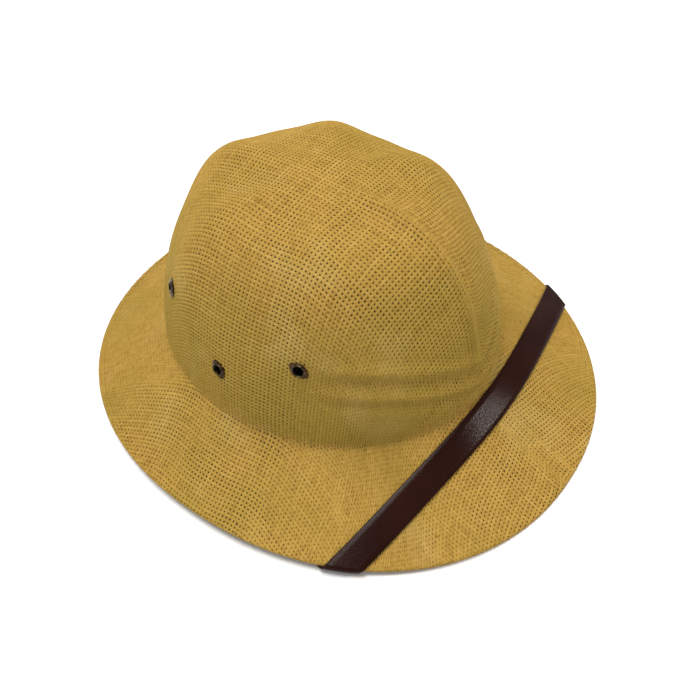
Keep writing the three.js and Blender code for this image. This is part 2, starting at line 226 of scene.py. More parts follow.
def brim_slant(turn):
    """The brim's foot, edge, length, outward direction and upper normal at each turn."""
    foot = crown_point(turn, np.zeros_like(turn))
    edge = rim_edge(turn)
    length = np.linalg.norm(edge - foot, axis=-1)
    out = unit(edge - foot)
    normal = unit(np.cross(rim_edge(turn + SMALL) - rim_edge(turn - SMALL), out))
    return foot, edge, length, out, normal


def brim_point(turn, share):
    foot, edge, _, _, normal = brim_slant(turn)
    share = np.asarray(share)[..., None]
    top = edge + normal * WALL / 2
    return foot + (top - foot) * share - normal * 4 * BRIM_DISH * share * (1 - share)


def brim_normal(turn, share):
    around = brim_point(turn + SMALL, share) - brim_point(turn - SMALL, share)
    inward = brim_point(turn, share - SMALL_SHARE) - brim_point(turn, share + SMALL_SHARE)
    return unit(np.cross(inward, around))


# Places on the cloth have two coordinates in millimetres of way from the hat's top: the first
# towards the wearer's right and the second towards the front.
def polar(place):
    way = np.hypot(place[..., 0], place[..., 1])
    turn = np.degrees(np.arctan2(place[..., 0], place[..., 1]))
    return turn, way


def spread_skin(place):
    """The hat's outer skin with its brim running straight on past the rim."""
    turn, way = polar(place)
    foot, _, length, _, _ = brim_slant(turn)
    crown = crown_point(turn, 90 * (1 - np.minimum(way, CROWN_WAY - FOOT_FILLET) / CROWN_WAY))
    brim = brim_point(turn, np.maximum(way - CROWN_WAY, FOOT_FILLET) / length)
    bend = np.clip((way - CROWN_WAY + FOOT_FILLET) / (2 * FOOT_FILLET), 0, 1)[..., None]
    return (1 - bend) ** 2 * crown + 2 * bend * (1 - bend) * foot + bend**2 * brim


def folded_skin(place):
    """The same skin with its hem: a step up, a rounded edge and a strip folded under."""
    turn, way = polar(place)
    _, _, length, out, normal = brim_slant(turn)
    from_rim = length + CROWN_WAY - way
    lift = HEM_STEP * smooth_step((HEM_WIDTH - from_rim) / HEM_STEP_RUN)[..., None]
    top = spread_skin(place) + lift * normal
    past = np.maximum(HEM_RADIUS - from_rim, 0)
    angle = np.minimum(past / HEM_RADIUS, np.pi)[..., None]
    under = np.maximum(past - np.pi * HEM_RADIUS, 0)
    middle = brim_point(turn, 1 - (HEM_RADIUS + under) / length) - normal * WALL / 2
    edge = middle + HEM_RADIUS * (np.sin(angle) * out + np.cos(angle) * normal)
    return np.where((past > 0)[..., None], edge, top)


def skin_normal(place):
    step = 4 * SMALL
    right = folded_skin(place + (step, 0)) - folded_skin(place - (step, 0))
    front = folded_skin(place + (0, step)) - folded_skin(place - (0, step))
    return unit(np.cross(right, front))


def cloth_end(turn):
    """The way at which the strip folded under the rim ends."""
    length = brim_slant(turn)[2]
    return CROWN_WAY + length - HEM_RADIUS + np.pi * HEM_RADIUS + HEM_WIDTH - HEM_RADIUS


# The net of crossings. Cloth drawn over a block keeps the length of its strands and shears, so
# each crossing is one pitch from its two neighbours nearer the top.
def first_strand(towards):
    """Crossings one pitch apart from the top outwards, straight towards one side."""
    ways = np.arange(0, LONGEST_WAY, WAY_STEP)
    places = ways[:, None] * np.array(towards, float)
    points = spread_skin(places)
    travelled = np.concatenate([[0], np.cumsum(np.linalg.norm(np.diff(points, axis=0), axis=1))])
    return np.interp(np.arange(NET_REACH) * PITCH, travelled, ways)[:, None] * towards


def next_crossings(a, b, corner):
    """The places one pitch from both a and b, away from corner."""
    point_a = spread_skin(a)
    point_b = spread_skin(b)
    place = a + b - corner
    for _ in range(NET_ROUNDS):
        point = spread_skin(place)
        to_right = (spread_skin(place + (SMALL, 0)) - point) / SMALL
        to_front = (spread_skin(place + (0, SMALL)) - point) / SMALL
        from_a = unit(point - point_a)
        from_b = unit(point - point_b)
        miss_a = np.linalg.norm(point - point_a, axis=-1) - PITCH
        miss_b = np.linalg.norm(point - point_b, axis=-1) - PITCH
        ar, af = (from_a * to_right).sum(-1), (from_a * to_front).sum(-1)
        br, bf = (from_b * to_right).sum(-1), (from_b * to_front).sum(-1)
        det = ar * bf - af * br
        det = np.where(np.abs(det) < SMALLEST_DET, SMALLEST_DET * np.sign(det + TINY), det)
        step = np.stack([(miss_a * bf - miss_b * af) / det, (miss_b * ar - miss_a * br) / det], -1)
        reach = np.linalg.norm(step, axis=-1, keepdims=True)
        place = place - step * np.minimum(1, PITCH / np.maximum(reach, TINY))
    return place


def quarter_net(front):
    """The crossings on the wearer's right, in front of the top (front 1) or behind it (-1)."""
    net = np.full((NET_REACH, NET_REACH, 2), np.nan)
    net[:, 0] = first_strand((1.0, 0.0))
    net[0, :] = first_strand((0.0, float(front)))
    for total in range(2, 2 * NET_REACH - 1):
        i = np.arange(max(1, total - NET_REACH + 1), min(total, NET_REACH))
        j = total - i
        good = ~np.isnan(net[i - 1, j, 0] + net[i, j - 1, 0] + net[i - 1, j - 1, 0])
        i, j = i[good], j[good]
        if len(i) == 0:
            continue
        place = next_crossings(net[i - 1, j], net[i, j - 1], net[i - 1, j - 1])
        turn, way = polar(place)
        inside = way < cloth_end(turn) + NET_MARGIN * PITCH
        net[i[inside], j[inside]] = place[inside]
    return net


def whole_net():
    """All crossings, from the wearer's left to the right and from the back to the front."""
    right = np.concatenate([quarter_net(-1)[:, :0:-1], quarter_net(1)], axis=1)
    left = right[:0:-1].copy()
    left[..., 0] *= -1
    return np.concatenate([left, right], axis=0)


def eyelet_places():
    places = {}
    for side_name, side in (("right", 1), ("left", -1)):
        for name, turn, rise in (
            ("front", EYELET_TURN - EYELET_SPREAD, EYELET_HIGH_RISE),
            ("middle", EYELET_TURN, EYELET_LOW_RISE),
            ("back", EYELET_TURN + EYELET_SPREAD, EYELET_HIGH_RISE),
        ):
            turn = side * turn
            middle = crown_point(turn, rise)
            around = crown_point(turn + SMALL, rise) - crown_point(turn - SMALL, rise)
            up = crown_point(turn, rise + SMALL) - crown_point(turn, rise - SMALL)
            places[f"eyelet_{side_name}_{name}"] = (middle, unit(np.cross(up, around)))
    return places


EYELET_PLACES = eyelet_places()


def clear_of_eyelets(points, distance):
    clear = np.ones(points.shape[:-1], bool)
    for middle, outward in EYELET_PLACES.values():
        away = points - middle
        sideways = away - (away @ outward)[..., None] * outward
        near = np.linalg.norm(away, axis=-1) < 3 * EYELET_FLANGE_RADIUS
        clear &= ~(near & (np.linalg.norm(sideways, axis=-1) < distance))
    return clear


def make_object(name, points, faces, material, uvs=None):
    """A mesh that rides on the hat, from points in millimetres and faces of one size."""
    faces = np.asarray(faces)
    used, index = np.unique(faces, return_inverse=True)
    faces = index.reshape(faces.shape)
    mesh = bpy.data.meshes.new(name)
    points = np.asarray(points)[used] * MM
    sides = faces.shape[1]
    mesh.vertices.add(len(points))
    mesh.vertices.foreach_set("co", points.ravel())
    mesh.loops.add(faces.size)
    mesh.loops.foreach_set("vertex_index", faces.ravel())
    mesh.polygons.add(len(faces))
    mesh.polygons.foreach_set("loop_start", np.arange(len(faces)) * sides)
    mesh.polygons.foreach_set("loop_total", np.full(len(faces), sides))
    mesh.polygons.foreach_set("use_smooth", np.full(len(faces), True))
    if uvs is not None:
        layer = mesh.uv_layers.new(name="cloth")
        layer.data.foreach_set("uv", np.asarray(uvs)[used][faces.ravel()].ravel())
    mesh.update(calc_edges=True)
    mesh.validate()
    mesh.materials.append(material)
    piece = bpy.data.objects.new(name, mesh)
    bpy.context.scene.collection.objects.link(piece)
    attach(piece, "root")
    return piece


# Shader nodes are added and linked through this small helper.
class Shader:
    def __init__(self, name):
        self.material = bpy.data.materials.new(name)
        self.material.use_nodes = True
        self.tree = self.material.node_tree
        self.surface = self.tree.nodes["Principled BSDF"]

    def node(self, kind, settings=None, **inputs):
        node = self.tree.nodes.new(kind)
        for key, value in (settings or {}).items():
            setattr(node, key, value)
        for key, value in inputs.items():
            self.feed(node.inputs[key.replace("_", " ")], value)
        return node

    def feed(self, socket, value):
        if isinstance(value, bpy.types.NodeSocket):
            self.tree.links.new(value, socket)
        else:
            socket.default_value = value

    def math(self, operation, *values):
        node = self.tree.nodes.new("ShaderNodeMath")
        node.operation = operation
        for socket, value in zip(node.inputs, values):
            self.feed(socket, value)
        return node.outputs[0]

    def ramp(self, factor, stops):
        node = self.tree.nodes.new("ShaderNodeValToRGB")
        elements = node.color_ramp.elements
        while len(elements) < len(stops):
            elements.new(0.5)
        for element, (position, colour) in zip(elements, stops):
            element.position = position
            element.color = (*colour, 1)
        self.feed(node.inputs["Fac"], factor)
        return node.outputs["Color"]

    def mix(self, factor, a, b, blend="MIX"):
        node = self.tree.nodes.new("ShaderNodeMix")
        node.data_type = "RGBA"
        node.blend_type = blend
        self.feed(node.inputs[0], factor)
        self.feed(node.inputs[6], a if isinstance(a, bpy.types.NodeSocket) else (*a, 1))
        self.feed(node.inputs[7], b if isinstance(b, bpy.types.NodeSocket) else (*b, 1))
        return node.outputs[2]

    def noise(self, vector, scale, detail=2.0, roughness=0.5):
        node = self.node("ShaderNodeTexNoise", Vector=vector, Scale=scale, Detail=detail)
        node.inputs["Roughness"].default_value = roughness
        return node.outputs["Fac"]

    def bump(self, height, strength, distance):
        node = self.node("ShaderNodeBump", Height=height, Strength=strength, Distance=distance)
        self.tree.links.new(node.outputs["Normal"], self.surface.inputs["Normal"])

    def set(self, **values):
        for key, value in values.items():
            self.feed(self.surface.inputs[key.replace("_", " ")], value)


# The straw's colours. Noise scales are cycles a metre, and heights are metres here.
STRAW_DARK = (0.19, 0.100, 0.017)
STRAW_MIDDLE = (0.350, 0.213, 0.043)
STRAW_LIGHT = (0.475, 0.307, 0.080)
# The darker olive colours random broad patches, and is also the colour of the painted shade on the
# lower crown.
STRAW_OLIVE_AND_SHADE = (0.230, 0.178, 0.023)
STRAW_PALE = (0.49, 0.36, 0.13)
STRAW_ROUGHNESS = 0.85
STRAW_SPECULAR = 0.1
FINE_SCALE = 420.0
OLIVE_PATCHES = 18.0
# Painted shade: from the crown's foot up through its lower part the straw is mixed towards the
# darker olive, by height.
SHADE_BAND_HEIGHT = (0.034, 0.045, 0.095, 0.125)
SHADE_BAND_SHARE = (0, 0.4, 0.3, 0)
SHADE_BAND_TOP = 0.15
PALE_PATCHES = 27.0

# Each strand's tone changes slowly along it, and its fibres run along it.
TONE_ALONG = 0.04
TONE_APART = 7.3
FIBRE_ALONG = 0.35
FIBRE_ACROSS = 9.0
FIBRE_BUMP = (0.5, 0.0002)

# The inner cloth's looks. Its inner face has its UV moved by INSIDE_SHIFT, which tells it apart.
# The holes are painted near-black: painted shade for the hat's dark inside seen through them.
HOLE_PAINTED_SHADE = (0.004, 0.0012, 0.0012)
# Painted shade: the inner cloth's outer face, lying under the strands, and its inner face, inside
# the hat, are darkened by these factors.
LINING_PAINTED_SHADE = (0.52, 0.36, 0.20)
INSIDE_PAINTED_SHADE = (0.80, 0.70, 0.55)
INSIDE_SHIFT = 4000
LINING_ROUGHNESS = 0.7
LINING_SPECULAR = 0.25
LINING_TURN = 4.5
LINING_DRIFT = 1.1
LINING_DRIFT_SCALE = 22.0
LINING_BUMP = (0.8, 0.0004)
OPEN_PATCHES = 30.0


def grey(value):
    return (value, value, value)


def straw_colour(shader, strand_tone):
    """Golden straw: each strand has its own tone, broad patches lean to olive, and a painted shade
    turns the crown's lower part darker olive.
    """
    place = shader.node("ShaderNodeTexCoord").outputs["Object"]
    broad = shader.noise(place, OLIVE_PATCHES, 3.0)
    fine = shader.noise(place, FINE_SCALE, 3.0, 0.6)
    strand_half = shader.math("MULTIPLY", strand_tone, 0.5)
    tone = shader.math("ADD", strand_half, shader.math("MULTIPLY", fine, 0.5))
    base = shader.ramp(tone, [(0.2, STRAW_DARK), (0.5, STRAW_MIDDLE), (0.82, STRAW_LIGHT)])
    olive = shader.ramp(broad, [(0.45, grey(0)), (0.7, grey(0.35))])
    # Painted shade by height: the lower crown is mixed towards the darker olive colour.
    height = shader.node("ShaderNodeSeparateXYZ", Vector=place).outputs["Z"]
    rise = shader.math("MULTIPLY", height, 1 / SHADE_BAND_TOP)
    stops = [(at / SHADE_BAND_TOP, grey(share)) for at, share in zip(SHADE_BAND_HEIGHT, SHADE_BAND_SHARE)]
    base = shader.mix(shader.ramp(rise, stops), shader.mix(olive, base, STRAW_OLIVE_AND_SHADE), STRAW_OLIVE_AND_SHADE)
    pale = shader.noise(place, PALE_PATCHES, 2.0)
    pale = shader.ramp(pale, [(0.56, grey(0)), (0.72, grey(0.22))])
    return shader.mix(pale, base, STRAW_PALE)


def strand_material():
    shader = Shader("woven_straw")
    uv = shader.node("ShaderNodeUVMap", {"uv_map": "cloth"}).outputs["UV"]
    split = shader.node("ShaderNodeSeparateXYZ", Vector=uv)
    along, strand = split.outputs["X"], split.outputs["Y"]
    number = shader.math("FLOOR", strand)
    stretch = shader.node(
        "ShaderNodeCombineXYZ",
        X=shader.math("MULTIPLY", along, TONE_ALONG),
        Y=shader.math("MULTIPLY", number, TONE_APART),
    )
    tone = shader.noise(stretch.outputs[0], 1.0, 2.0)
    shader.set(Base_Color=straw_colour(shader, tone), Roughness=STRAW_ROUGHNESS)
    shader.surface.inputs["Specular IOR Level"].default_value = STRAW_SPECULAR
    fibre = shader.node(
        "ShaderNodeCombineXYZ",
        X=shader.math("MULTIPLY", along, FIBRE_ALONG),
        Y=shader.math("MULTIPLY", strand, FIBRE_ACROSS),
    )
    shader.bump(shader.noise(fibre.outputs[0], 1.0, 3.0), *FIBRE_BUMP)
    return shader.material


def lining_material():
    """The inner cloth: its own weave, a little turned, so that holes line up in patches."""
    shader = Shader("straw_lining")
    uv = shader.node("ShaderNodeUVMap", {"uv_map": "cloth"}).outputs["UV"]
    object_place = shader.node("ShaderNodeTexCoord").outputs["Object"]
    drift = shader.node(
        "ShaderNodeTexNoise", Vector=object_place, Scale=LINING_DRIFT_SCALE, Detail=1.0
    )
    shift = shader.node(
        "ShaderNodeVectorMath",
        {"operation": "SCALE"},
        Vector=drift.outputs["Color"],
        Scale=LINING_DRIFT,
    )
    turned = shader.node("ShaderNodeMapping", Vector=uv)
    turned.inputs["Rotation"].default_value = (0, 0, math.radians(LINING_TURN))
    moved = shader.node("ShaderNodeVectorMath", {"operation": "ADD"})
    shader.tree.links.new(turned.outputs[0], moved.inputs[0])
    shader.tree.links.new(shift.outputs[0], moved.inputs[1])
    split = shader.node("ShaderNodeSeparateXYZ", Vector=moved.outputs[0])
    plain = shader.node("ShaderNodeSeparateXYZ", Vector=uv).outputs["X"]
    inside = shader.math("GREATER_THAN", plain, INSIDE_SHIFT / 2)
    waves = [
        shader.math("COSINE", shader.math("MULTIPLY", split.outputs[axis], 2 * math.pi))
        for axis in ("X", "Y")
    ]
    both = shader.math("ADD", shader.math("MULTIPLY", shader.math("ADD", *waves), 0.25), 0.5)
    # Painted shade: where the weave's holes fall, and most where they line up in patches, the
    # cloth is painted near-black for the dark inside seen through them.
    patches = shader.noise(object_place, OPEN_PATCHES, 1.0)
    patches = shader.ramp(patches, [(0.5, grey(0)), (0.6, grey(0.5))])
    outer = shader.ramp(shader.math("ADD", both, patches), [(0.66, grey(0)), (0.8, grey(1))])
    inner = shader.ramp(both, [(0.82, grey(0)), (0.95, grey(0.8))])
    shaded_hole = shader.mix(inside, outer, inner)
    half = [
        shader.math("SINE", shader.math("MULTIPLY", split.outputs[axis], math.pi))
        for axis in ("X", "Y")
    ]
    over = shader.math("MULTIPLY", *half)
    base = straw_colour(shader, shader.math("ADD", shader.math("MULTIPLY", over, 0.25), 0.45))
    # Painted shade: the straw colour is darkened, more on the outer face under the strands than on
    # the inner face.
    base = shader.mix(1.0, base, shader.mix(inside, LINING_PAINTED_SHADE, INSIDE_PAINTED_SHADE), "MULTIPLY")
    shader.set(Base_Color=shader.mix(shaded_hole, base, HOLE_PAINTED_SHADE), Roughness=LINING_ROUGHNESS)
    shader.surface.inputs["Specular IOR Level"].default_value = LINING_SPECULAR
    strands = shader.math("MULTIPLY", over, 0.4)
    height = shader.math("ADD", strands, shader.math("MULTIPLY", both, -0.6))
    shader.bump(height, *LINING_BUMP)
    return shader.material


def strand_points(place, tangent, lift, width):
    """The four points across a strand at each place: its two sides and its rounded back."""
    normal = skin_normal(place)
    middle = folded_skin(place) + normal * (lift - STRAND_DEPTH)[..., None]
    side = unit(np.cross(normal, tangent))
    rows = []
    for across, height in STRAND_SECTION:
        rows.append(middle + side * (across * width)[..., None] + normal * height)
    return np.stack(rows, -2)


def strand_family(net, sine, name, halves, material):
    """All strands that run along the net's first index, as two meshes, one for each half.
    Each strand crosses those of the other family over and under in turn."""
    strands, crossings = net.shape[1], net.shape[0]
    along = np.arange(2 * crossings - 1) / 2
    low = along.astype(int)
    high = np.minimum(low + (along % 1 > 0), crossings - 1)
    place = (net[low] + net[high]) / 2
    sine = (sine[low] + sine[high]) / 2
    start = 0 if name == "straw_weft" else 1
    sign = np.where((low[:, None] + np.arange(strands)[None, :] + start) % 2 == 0, 1.0, -1.0)
    lift = np.where((along % 1 > 0)[:, None], 0.0, sign * STRAND_SWING)

    random = np.random.default_rng(len(name))
    drift = random.normal(0, 1, (len(along) // STRAND_KNOT + 3, strands))
    knots = np.arange(drift.shape[0]) * STRAND_KNOT
    steps = np.arange(len(along))
    wander = np.stack([np.interp(steps, knots, drift[:, j]) for j in range(strands)], 1)
    width = np.minimum(STRAND_WIDTH, STRAND_FILL * PITCH * sine) * (1 + STRAND_UNEVEN * wander)

    turn, way = polar(place)
    end = cloth_end(np.nan_to_num(turn))
    known = ~np.isnan(way)
    inside = known & (way <= end)
    beside = np.zeros_like(inside)
    beside[1:] |= inside[:-1]
    beside[:-1] |= inside[1:]
    last = known & ~inside & beside
    place = np.where(last[..., None], place * (end / np.maximum(way, SMALL))[..., None], place)
    keep = inside | last

    filled = np.where(keep[..., None], place, 1.0)
    centre = folded_skin(filled)
    centre[~keep] = np.nan
    before = np.concatenate([centre[:1], centre[:-1]])
    after = np.concatenate([centre[1:], centre[-1:]])
    before = np.where(np.isnan(before), centre, before)
    after = np.where(np.isnan(after), centre, after)
    tangent = after - before
    tangent[~keep] = (1, 0, 0)
    normal = skin_normal(filled)
    sideways = unit(np.cross(normal, unit(tangent)))
    points = strand_points(filled, unit(tangent), lift, np.nan_to_num(width, nan=1.0))
    points = points + (sideways * (STRAND_WANDER * wander)[..., None])[..., None, :]
    points[..., 2] = np.maximum(points[..., 2], 0)
    keep &= clear_of_eyelets(np.nan_to_num(centre), EYELET_BARREL_RADIUS)

    index = np.arange(points.size // 3).reshape(points.shape[:-1])
    corners = [index[:-1, :, :-1], index[1:, :, :-1], index[1:, :, 1:], index[:-1, :, 1:]]
    quads = np.stack(corners, -1)
    shown = keep[:-1] & keep[1:]
    across = np.broadcast_to(np.array(STRAND_UV_ACROSS), points.shape[:-1])
    number = np.arange(strands)[None, :, None] + across
    length = np.broadcast_to((along * PITCH)[:, None, None], points.shape[:-1])
    uvs = np.stack([length, number], -1).reshape(-1, 2)
    flat = points.reshape(-1, 3)
    pieces = []
    second = np.arange(strands) >= strands // 2
    for half, chosen in zip(halves, (~second, second)):
        faces = quads[shown & chosen[None, :]].reshape(-1, 4)
        if name == "straw_warp":
            faces = faces[:, ::-1]
        pieces.append(make_object(f"{name}_{half}", flat, faces, material, uvs))
    return pieces


def lining(net, material):
    """The inner cloth, one closed sheet between the outer strands and the hat's inside."""
    turn, way = polar(net)
    length = brim_slant(np.nan_to_num(turn))[2]
    stop = CROWN_WAY + length - HEM_RADIUS
    near = ~np.isnan(way) & (way < stop + LINING_REACH * PITCH)
    to_stop = net * (stop / np.maximum(way, SMALL))[..., None]
    place = np.where((near & (way > stop))[..., None], to_stop, net)
    filled = np.where(near[..., None], place, 1.0)
    skin = folded_skin(filled)
    normal = skin_normal(filled)
    near &= clear_of_eyelets(skin, EYELET_BARREL_RADIUS - LINING_IN_HOLE)
    outer = skin - normal * LINING_DEPTH
    inner = skin - normal * (WALL + LINING_PAST_WALL)
    count = net.shape[0] * net.shape[1]
    index = np.arange(count).reshape(net.shape[:2])
    good = near[:-1, :-1] & near[1:, :-1] & near[1:, 1:] & near[:-1, 1:]
    corners = [index[:-1, :-1], index[1:, :-1], index[1:, 1:], index[:-1, 1:]]
    quads = np.stack(corners, -1)[good]
    faces = np.concatenate([quads, quads[:, ::-1] + count])
    edges = np.concatenate([quads[:, [k, (k + 1) % 4]] for k in range(4)])
    keys = edges[:, 0].astype(np.int64) * count + edges[:, 1]
    back = edges[:, 1].astype(np.int64) * count + edges[:, 0]
    border = edges[~np.isin(keys, back)]
    walls = np.stack([border[:, 1], border[:, 0], border[:, 0] + count, border[:, 1] + count], -1)
    points = np.concatenate([outer.reshape(-1, 3), inner.reshape(-1, 3)])
    i, j = np.meshgrid(np.arange(net.shape[0]), np.arange(net.shape[1]), indexing="ij")
    uvs = np.stack([i.ravel(), j.ravel()], -1).astype(float)
    uvs = np.concatenate([uvs, uvs + (INSIDE_SHIFT, 0)])
    faces = np.concatenate([faces, walls])
    return make_object("straw_lining", points, faces, material, uvs)


def crossing_sine(net):
    """The sine of the angle between the two families of strands at each crossing."""
    points = spread_skin(np.nan_to_num(net, nan=1.0))
    points[np.isnan(net[..., 0])] = np.nan
    first = unit(np.gradient(points, axis=0))
    second = unit(np.gradient(points, axis=1))
    sine = np.linalg.norm(np.cross(first, second), axis=-1)
    return np.nan_to_num(sine, nan=EDGE_SINE)


net = whole_net()
sine = crossing_sine(net)
straw = strand_material()
weft = strand_family(net, sine, "straw_weft", ("back", "front"), straw)
warp = strand_family(net.swapaxes(0, 1), sine.T, "straw_warp", ("left", "right"), straw)
inner_cloth = lining(net, lining_material())
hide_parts("straw_body")
for piece in weft + warp:
    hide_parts("straw_body")


# The strap: its edges are laid as in the CAD model's source, with a rounded section.
STRAP_TOP_STEPS = 60
STRAP_RIM_STEPS = 14
STRAP_UNDER_STEPS = 30
STRAP_ACROSS = (-0.955, -0.6, -0.2, 0.2, 0.6, 0.955)
STRAP_EDGE = ((0.99, 0.2), (1.0, 0.5), (0.99, 0.8))
STRAP_SWELL = 0.12
STRAP_END_ROUNDS = 40
STRAP_LINE_ROUNDS = 30


def as_array(value):
    return np.asarray(value, float)


def rim_share(turn):
    return 1 - HEM_RADIUS / brim_slant(turn)[2]


def strap_share(turn):
    start = (STRAP_FOOT_DISTANCE + STRAP_WIDTH / 2) / brim_slant(as_array(0))[2]
    along = turn / STRAP_RIM_TURN
    return start + (1 - start) * (STRAP_BEND * along**2 + (1 - STRAP_BEND) * along**4)


def strap_edge(turn, side):
    """One edge of the strap beside its middle line: its turn, share of the brim and heading."""
    turn = as_array(turn)
    share = strap_share(turn)
    around = (brim_point(turn + SMALL, share) - brim_point(turn - SMALL, share)) / (2 * SMALL)
    outward = brim_point(turn, share + SMALL_SHARE) - brim_point(turn, share - SMALL_SHARE)
    outward = outward / (2 * SMALL_SHARE)
    slope = (strap_share(turn + SMALL) - strap_share(turn - SMALL)) / (2 * SMALL)
    run = unit(around + outward * slope)
    across = unit(np.cross(run, brim_normal(turn, share))) * side * STRAP_WIDTH / 2
    rr, ro, oo = around @ around, around @ outward, outward @ outward
    ar, ao = across @ around, across @ outward
    det = rr * oo - ro * ro
    return turn + (ar * oo - ao * ro) / det, share + (ao * rr - ar * ro) / det, run


def strap_edge_end(side):
    low, high = 0.0, 2 * STRAP_RIM_TURN
    for _ in range(STRAP_END_ROUNDS):
        middle = (low + high) / 2
        turn, share, _ = strap_edge(middle, side)
        if share < rim_share(turn):
            low = middle
        else:
            high = middle
    return low


def on_top(turn, share, lift):
    return brim_point(turn, share) + brim_normal(turn, share) * (GAP + HEM_STEP * share**2 + lift)


def round_rim(turn, angle, lift):
    _, edge, _, out, normal = brim_slant(turn)
    radius = HEM_RADIUS + GAP + lift
    outward = out * (radius * math.sin(angle) - HEM_RADIUS)
    return edge + outward + normal * radius * math.cos(angle)


def under(turn, share, lift):
    drop = WALL + HEM_STEP * share**2 + GAP + lift
    return brim_point(turn, share) - brim_normal(turn, share) * drop


def crossing_share(turn, start, end):
    inner, outer = brim_point(turn, as_array(0)), brim_point(turn, as_array(1))

    def cross(vector):
        return vector[0] * (end - start)[1] - vector[1] * (end - start)[0]

    return cross(start - inner) / cross(outer - inner)


def place_along(turn, start, end, along):
    """The place under the brim part of the way along a straight line in plan."""
    heading = unit((end - start) * (1, 1, 0))
    target = start + (end - start) * along
    for _ in range(STRAP_LINE_ROUNDS):
        here = brim_point(turn, crossing_share(turn, start, end))
        onward = brim_point(turn + SMALL, crossing_share(turn + SMALL, start, end))
        turn = turn + SMALL * heading @ (target - here) / (heading @ (onward - here))
    return turn, crossing_share(turn, start, end)


def strap_section(place, inner, outer):
    """The points round the strap at one step, from its two edges' places."""

    def point(side, height):
        mid = (side + 1) / 2
        keys = [as_array(a + (b - a) * mid) for a, b in zip(inner, outer)]
        swell = STRAP_SWELL * (1 - side * side) if height == 1 else 0
        return place(*keys, STRAP_THICKNESS * height + swell)

    near = [point(side, 0) for side in STRAP_ACROSS]
    rim_side = [point(side, height) for side, height in STRAP_EDGE]
    far = [point(side, 1) for side in reversed(STRAP_ACROSS)]
    foot_side = [point(-side, height) for side, height in reversed(STRAP_EDGE)]
    return near + rim_side + far + foot_side


def strap_route():
    """The steps of half of the strap: how a place is found, and its two edges' places there."""
    ends = {side: strap_edge_end(side) for side in (-1, 1)}
    steps = []
    for i in range(STRAP_TOP_STEPS + 1):
        edges = [strap_edge(ends[side] * i / STRAP_TOP_STEPS, side)[:2] for side in (-1, 1)]
        steps.append((on_top, *edges))
    folds = []
    for side in (-1, 1):
        turn, _, run = strap_edge(ends[side], side)
        rim_run = (rim_edge(turn + SMALL) - rim_edge(turn - SMALL)) / (2 * SMALL)
        radius = (HEM_THICKNESS + STRAP_THICKNESS) / 2 + GAP
        onward = radius * (run @ unit(rim_run)) / (run @ brim_slant(turn)[3])
        folds.append((turn, onward / np.linalg.norm(rim_run)))
    for i in range(1, STRAP_RIM_STEPS):
        angle = math.pi * i / STRAP_RIM_STEPS
        edges = [(turn + per_angle * angle, angle) for turn, per_angle in folds]
        steps.append((round_rim, *edges))
    turns = [turn + per_angle * math.pi for turn, per_angle in folds]
    starts = [brim_point(turn, rim_share(turn)) for turn in turns]
    end_turn = as_array(STRAP_END_TURN)
    end_share = (STRAP_MOUTH_DISTANCE + STRAP_WIDTH / 2) / brim_slant(end_turn)[2]
    end = brim_point(end_turn, end_share)
    across = unit(np.cross(brim_normal(end_turn, end_share), end - (starts[0] + starts[1]) / 2))
    corners = [end + across * side * STRAP_WIDTH / 2 for side in (-1, 1)]
    for i in range(STRAP_UNDER_STEPS + 1):
        along = i / STRAP_UNDER_STEPS
        edges = [place_along(*each, along) for each in zip(turns, starts, corners)]
        steps.append((under, *edges))
    return steps


LEATHER_DARK = (0.011, 0.003, 0.0019)
LEATHER_LIGHT = (0.018, 0.0052, 0.0034)
LEATHER_WORN = (0.022, 0.0065, 0.004)
LEATHER_ROUGHNESS = 0.2
LEATHER_SPECULAR = 0.08
LEATHER_PATCHES = 35.0
LEATHER_GRAIN = 1500.0
LEATHER_CREASES = 260.0
LEATHER_BUMP = (0.5, 0.00012)


def strap_material():
    shader = Shader("dark_leather")
    place = shader.node("ShaderNodeTexCoord").outputs["Object"]
    broad = shader.noise(place, LEATHER_PATCHES, 3.0)
    grain = shader.node("ShaderNodeTexVoronoi", Vector=place, Scale=LEATHER_GRAIN)
    cells = grain.outputs["Distance"]
    tone = shader.ramp(broad, [(0.35, LEATHER_DARK), (0.65, LEATHER_LIGHT)])
    wear = shader.ramp(cells, [(0.1, grey(0)), (0.6, grey(0.35))])
    shader.set(Base_Color=shader.mix(wear, tone, LEATHER_WORN), Roughness=LEATHER_ROUGHNESS)
    shader.surface.inputs["Specular IOR Level"].default_value = LEATHER_SPECULAR
    creases = shader.math("MULTIPLY", shader.noise(place, LEATHER_CREASES, 2.0), 0.8)
    shader.bump(shader.math("ADD", cells, creases), *LEATHER_BUMP)
    return shader.material


# The stitches: a box, across and along the strap, with a cross in it.
STITCH_BOX = (10.0, 12.0)
STITCH_INSET = 2.0
STITCH_PITCH = 2.2
STITCH_GAP = 0.1
STITCH_RADIUS = 0.28
STITCH_END = 0.45
STITCH_ARCH = 1.6
STITCH_SIDES = 6
STITCH_STEPS = 5
THREAD_DARK = (0.02, 0.008, 0.005)
THREAD_LIGHT = (0.06, 0.026, 0.016)
THREAD_SCALE = 900.0
THREAD_ROUGHNESS = 0.7


def stitch_tube(a, b, out):
    """A short arched thread from a to b that bulges along out."""
    beside = np.cross(unit(b - a), out)
    angles = np.arange(STITCH_SIDES)[:, None] * 2 * np.pi / STITCH_SIDES
    round_way = np.cos(angles) * beside + np.sin(angles) * out
    rings = []
    for step in range(STITCH_STEPS + 1):
        along = step / STITCH_STEPS
        arch = math.sin(math.pi * along)
        middle = a + (b - a) * along + out * STITCH_RADIUS * STITCH_ARCH * arch
        thick = STITCH_RADIUS * (STITCH_END + (1 - STITCH_END) * arch)
        rings.append(middle + thick * round_way)
    faces = []
    for ring in range(STITCH_STEPS):
        for k in range(STITCH_SIDES):
            here = ring * STITCH_SIDES + k
            there = ring * STITCH_SIDES + (k + 1) % STITCH_SIDES
            faces.append((here, there, there + STITCH_SIDES, here + STITCH_SIDES))
    return np.concatenate(rings), np.array(faces)


